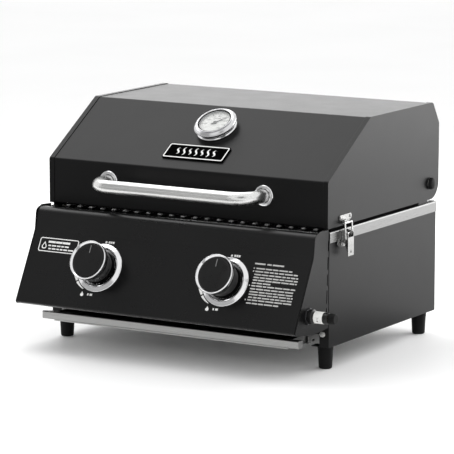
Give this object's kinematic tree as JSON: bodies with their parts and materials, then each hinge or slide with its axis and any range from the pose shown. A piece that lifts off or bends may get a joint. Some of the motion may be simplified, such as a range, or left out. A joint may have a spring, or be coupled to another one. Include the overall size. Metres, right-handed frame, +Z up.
{
  "type": "gas barbecue grill",
  "caption": "Table-top gas grill: hinged angular lid with bowed bar handle and thermometer, slanted control panel with turn knobs, toggle latches, stub legs and a pull-out grease tray.",
  "frame": {"origin": "centre of the bounding box at floor level, under the feet", "axes": "+Z up, -Y towards the person cooking, +X towards the gas inlet"},
  "size_m": [0.628, 0.5308, 0.4143],
  "materials": {
    "black_paint": "semi-gloss powder coat",
    "black_enamel": "gloss enamel",
    "stainless": "brushed",
    "plated_steel": "zinc plated",
    "chrome": "polished",
    "brass": "machined",
    "black_plastic": "moulded satin",
    "rubber": "moulded",
    "cast_iron": "enamelled",
    "ceramic": "glazed",
    "badge_black": "gloss with pale border",
    "dial_face": "printed",
    "needle": "matt",
    "glass": "clear",
    "paper_tag": "paper"
  },
  "bodies": {
    "chassis": {"side_panel_left": "black_paint", "side_panel_right": "black_paint", "rear_panel": "black_paint", "firebox": "stainless", "firebox_rims": "stainless", "front_brace": "black_paint", "control_panel": "black_enamel", "panel_end_left": "black_enamel", "panel_end_right": "black_enamel", "knob_bezels": "chrome", "gas_valves": "brass", "gas_manifold": "plated_steel", "gas_inlet_nipple": "brass", "gas_inlet_nut": "plated_steel", "gas_inlet_collar": "black_plastic", "gas_inlet_tag": "paper_tag", "burners": "stainless", "heat_tents": "stainless", "igniter_electrodes": "ceramic", "hinge_brackets": "black_paint", "base_rivets": "plated_steel", "latch_bases": "plated_steel", "latch_pins": "plated_steel", "legs": "rubber", "hex_fasteners": "plated_steel", "tray_runners": "plated_steel"},
    "lid": {"lid_shell": "black_paint", "lid_end_left": "black_paint", "lid_end_right": "black_paint", "lid_handle": "stainless", "handle_rosettes": "stainless", "handle_screws": "plated_steel", "thermometer_case": "chrome", "thermometer_bezel": "chrome", "thermometer_dial": "dial_face", "thermometer_glass": "glass", "thermometer_stem": "brass", "thermometer_nut": "plated_steel", "badge_plate": "badge_black", "latch_keepers": "plated_steel", "keeper_rivets": "plated_steel", "pivot_bolts": "plated_steel", "pivot_caps": "black_plastic"},
    "needle": {"thermometer_needle": "needle"},
    "plunger_left": {"valve_plunger_left": "plated_steel"},
    "knob_left": {"knob_left": "black_plastic", "knob_ring_left": "chrome", "valve_stem_left": "plated_steel"},
    "plunger_right": {"valve_plunger_right": "plated_steel"},
    "knob_right": {"knob_right": "black_plastic", "knob_ring_right": "chrome", "valve_stem_right": "plated_steel"},
    "tray": {"grease_tray": "stainless"},
    "grate_left": {"grate_left": "cast_iron"},
    "grate_right": {"grate_right": "cast_iron"},
    "lever_left": {"latch_lever_left": "plated_steel"},
    "bail_left": {"latch_bail_left": "plated_steel"},
    "lever_right": {"latch_lever_right": "plated_steel"},
    "bail_right": {"latch_bail_right": "plated_steel"},
    "inlet_cap": {"gas_inlet_cap": "rubber"}
  },
  "joints": [
    {"name": "lid_hinge", "type": "hinge", "parent": "chassis", "child": "lid", "pos_m": [-0.019, 0.2325, 0.271], "axis": [-1, 0, 0], "range_deg": [0, 90]},
    {"name": "thermometer_needle_turn", "type": "hinge", "parent": "lid", "child": "needle", "pos_m": [-0.0137, -0.04611, 0.39243], "axis": [0, -0.5346, 0.8451], "range_deg": [-90, 180], "stiffness_Nm_per_rad": 0.002},
    {"name": "tray_slide", "type": "slide", "parent": "chassis", "child": "tray", "axis": [0, -1, 0], "range_m": [0, 0.3]},
    {"name": "grate_left_lift", "type": "slide", "parent": "chassis", "child": "grate_left", "axis": [0, 0, 1], "range_m": [0, 0.05]},
    {"name": "grate_right_lift", "type": "slide", "parent": "chassis", "child": "grate_right", "axis": [0, 0, 1], "range_m": [0, 0.05]},
    {"name": "inlet_cap_pull", "type": "slide", "parent": "chassis", "child": "inlet_cap", "axis": [1, 0, 0], "range_m": [0, 0.03]},
    {"name": "knob_left_push", "type": "slide", "parent": "chassis", "child": "plunger_left", "axis": [0, 0.8842, -0.4672], "range_m": [0, 0.003], "stiffness_N_per_m": 1500, "springref_m": -0.003},
    {"name": "knob_left_turn", "type": "hinge", "parent": "plunger_left", "child": "knob_left", "pos_m": [-0.145, -0.22785, 0.1596], "axis": [0, -0.8842, 0.4672], "range_deg": [0, 180]},
    {"name": "knob_right_push", "type": "slide", "parent": "chassis", "child": "plunger_right", "axis": [0, 0.8842, -0.4672], "range_m": [0, 0.003], "stiffness_N_per_m": 1500, "springref_m": -0.003},
    {"name": "knob_right_turn", "type": "hinge", "parent": "plunger_right", "child": "knob_right", "pos_m": [0.107, -0.22785, 0.1596], "axis": [0, -0.8842, 0.4672], "range_deg": [0, 180]},
    {"name": "latch_left_lever", "type": "hinge", "parent": "chassis", "child": "lever_left", "pos_m": [-0.3076, -0.0835, 0.229], "axis": [0, 1, 0], "range_deg": [0, 120]},
    {"name": "latch_left_bail", "type": "hinge", "parent": "lever_left", "child": "bail_left", "pos_m": [-0.3104, -0.0835, 0.2215], "axis": [0, -1, 0], "range_deg": [0, 140]},
    {"name": "latch_right_lever", "type": "hinge", "parent": "chassis", "child": "lever_right", "pos_m": [0.2696, -0.0835, 0.229], "axis": [0, -1, 0], "range_deg": [0, 120]},
    {"name": "latch_right_bail", "type": "hinge", "parent": "lever_right", "child": "bail_right", "pos_m": [0.2724, -0.0835, 0.2215], "axis": [0, 1, 0], "range_deg": [0, 140]}
  ],
  "couplings": [
    {"joint": "latch_left_bail", "follows": "latch_left_lever", "ratio": 1.15},
    {"joint": "latch_right_bail", "follows": "latch_right_lever", "ratio": 1.15}
  ]
}
